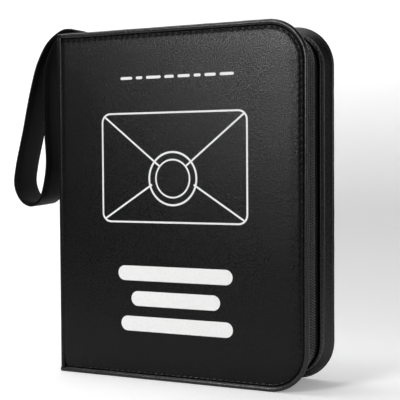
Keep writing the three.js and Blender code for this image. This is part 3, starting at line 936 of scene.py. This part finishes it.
for name, side in SIDES:
    rings = [[(x, side * y, z) for x, z in ring_outline(inset)] for inset, y in LINING_RINGS]
    closed_mesh(f"{name}_lining", tube(rings), LINING, name)
    line = [(x, side * 19.62, z) for x, z in ring_outline(5.0)]
    stitch_row(f"{name}_lining_stitches", line, lambda d: -side * Y_AXIS, name,
               length=2.2, radius=0.2, pitch=3.6)


# ---------------------------------------------------------------- stage, light and camera, in metres
FLOOR_LIFT = 0.24           # glow of the paper for camera rays
FLOOR_FRONT, FLOOR_BACK, CURVE_RADIUS, WALL_TOP = -0.32, 0.18, 0.09, 1.5
PAPER_LEFT, PAPER_RIGHT, FLOOR_RIGHT = -0.9, 0.27, 0.5
CURVE_STEPS = 16

CAMERA_PLACE = (0.3376, -0.6196, 0.1454)
CAMERA_YAW, CAMERA_PITCH, CAMERA_ROLL = 26.48, -2.09, -0.37
CAMERA_LENS, CAMERA_SENSOR = 92.2, 36

# name, place, target, width, height, watts
LAMPS = (
    ("key", (-0.35, -1.36, 0.6), (0.02, 0, 0.12), 0.34, 0.66, 14),
    ("side", (1.3, -0.55, 0.35), (0.1, 0, 0.12), 0.4, 0.7, 2.5),
    ("top", (-0.7, 0.02, 2.05), (0, 0.05, 0), 1.5, 1.5, 25),
)

# The world's bright panels: direction, and the cosines at which they begin and are full
PANELS = (((-0.43, 0.9, 0), 0.7, 0.92), ((0.9, -0.43, 0.05), 0.9, 0.98))
GLOSSY_DARK, GLOSSY_BRIGHT, DIFFUSE_WORLD = 0.08, 1.0, 0.15


def stage_paper():
    """White paper that is seen from its front only, so that it doesn't hide the wallet from behind or below."""
    mat = bpy.data.materials.new("stage_paper")
    mat.use_nodes = True
    nodes, links = mat.node_tree.nodes, mat.node_tree.links
    shader = nodes["Principled BSDF"]
    socket_value(shader, "Roughness", 0.9)
    socket_value(shader, "Specular IOR Level", 0.1)
    socket_value(shader, "Emission Color", (1, 1, 1, 1))
    grain = nodes.new("ShaderNodeTexNoise")
    socket_value(grain, "Scale", 14)
    mix = nodes.new("ShaderNodeMix")
    mix.data_type = "RGBA"
    socket_value(mix, "A", (0.93, 0.93, 0.93, 1))
    socket_value(mix, "B", (0.95, 0.95, 0.95, 1))
    links.new(grain.outputs["Fac"], mix.inputs["Factor"])
    links.new(mix.outputs["Result"], shader.inputs["Base Color"])
    rays = nodes.new("ShaderNodeLightPath").outputs
    lift = math_node(mat.node_tree, "MULTIPLY", rays["Is Camera Ray"], FLOOR_LIFT)
    links.new(lift, shader.inputs["Emission Strength"])
    one_sided = nodes.new("ShaderNodeMixShader")
    links.new(nodes.new("ShaderNodeNewGeometry").outputs["Backfacing"], one_sided.inputs[0])
    links.new(shader.outputs[0], one_sided.inputs[1])
    links.new(nodes.new("ShaderNodeBsdfTransparent").outputs[0], one_sided.inputs[2])
    links.new(one_sided.outputs[0], nodes["Material Output"].inputs["Surface"])
    return mat


def stage():
    """A floor that curves up into a wall behind the wallet, and a strip of floor on the right."""
    profile = [(FLOOR_FRONT, 0.0), (FLOOR_BACK, 0.0)]
    for i in range(1, CURVE_STEPS + 1):
        a = math.pi / 2 * i / CURVE_STEPS
        profile.append((FLOOR_BACK + CURVE_RADIUS * math.sin(a), CURVE_RADIUS - CURVE_RADIUS * math.cos(a)))
    profile.append((FLOOR_BACK + CURVE_RADIUS, WALL_TOP))
    verts = [(x, y, z) for x in (PAPER_LEFT, PAPER_RIGHT) for y, z in profile]
    verts += [(FLOOR_RIGHT, FLOOR_FRONT, 0), (FLOOR_RIGHT, FLOOR_BACK, 0)]
    count = len(profile)
    faces = [(i, count + i, count + i + 1, i + 1) for i in range(count - 1)]
    faces.append((count, 2 * count, 2 * count + 1, count + 1))
    mesh = bpy.data.meshes.new("studio_floor")
    mesh.from_pydata(verts, [], faces)
    mesh.polygons.foreach_set("use_smooth", [True] * len(mesh.polygons))
    mesh.materials.append(stage_paper())
    floor = bpy.data.objects.new("studio_floor", mesh)
    bpy.context.scene.collection.objects.link(floor)


def lamp(name, place, target, width, height, watts):
    light = bpy.data.lights.new(name, "AREA")
    light.shape = "RECTANGLE"
    light.size = width
    light.size_y = height
    light.energy = watts
    obj = bpy.data.objects.new(name, light)
    obj.location = place
    obj.rotation_euler = (Vector(target) - Vector(place)).to_track_quat("-Z", "Y").to_euler()
    bpy.context.scene.collection.objects.link(obj)


def camera():
    """The camera fitted to the photo."""
    yaw, pitch, roll = math.radians(CAMERA_YAW), math.radians(CAMERA_PITCH), math.radians(CAMERA_ROLL)
    forward = Vector((-math.sin(yaw) * math.cos(pitch), math.cos(yaw) * math.cos(pitch), math.sin(pitch)))
    level = Vector((math.cos(yaw), math.sin(yaw), 0))
    upright = level.cross(forward)
    right = level * math.cos(roll) + upright * math.sin(roll)
    up = -level * math.sin(roll) + upright * math.cos(roll)
    data = bpy.data.cameras.new("camera")
    data.sensor_width = CAMERA_SENSOR
    data.sensor_fit = "HORIZONTAL"
    data.lens = CAMERA_LENS
    obj = bpy.data.objects.new("camera", data)
    turn = Matrix((right, up, -forward)).transposed().to_4x4()
    obj.matrix_world = Matrix.Translation(CAMERA_PLACE) @ turn
    bpy.context.scene.collection.objects.link(obj)
    bpy.context.scene.camera = obj


def studio_world():
    """White for camera and transmission rays, dark with two bright panels for glossy ones, dim for diffuse ones."""
    world = bpy.data.worlds.new("studio")
    bpy.context.scene.world = world
    world.use_nodes = True
    tree = world.node_tree
    background = tree.nodes["Background"]
    socket_value(background, "Color", (1, 1, 1, 1))
    rays = tree.nodes.new("ShaderNodeLightPath").outputs
    sky = tree.nodes.new("ShaderNodeTexCoord")
    panels = []
    for direction, begins, full in PANELS:
        facing = tree.nodes.new("ShaderNodeVectorMath")
        facing.operation = "DOT_PRODUCT"
        facing.inputs[1].default_value = direction
        tree.links.new(sky.outputs["Generated"], facing.inputs[0])
        panels.append(range_node(tree, facing.outputs["Value"], begins, full, GLOSSY_DARK, GLOSSY_BRIGHT))
    white = math_node(tree, "ADD", rays["Is Camera Ray"], rays["Is Transmission Ray"], clamp=True)
    brighter = math_node(tree, "MAXIMUM", *panels)
    glossy = math_node(tree, "MULTIPLY", rays["Is Glossy Ray"], brighter)
    diffuse = math_node(tree, "MULTIPLY", rays["Is Diffuse Ray"], DIFFUSE_WORLD)
    strength = math_node(tree, "MAXIMUM", math_node(tree, "MAXIMUM", white, glossy), diffuse)
    tree.links.new(strength, background.inputs["Strength"])


stage()
camera()
for row in LAMPS:
    lamp(*row)
studio_world()
bpy.context.scene.view_settings.view_transform = "Standard"
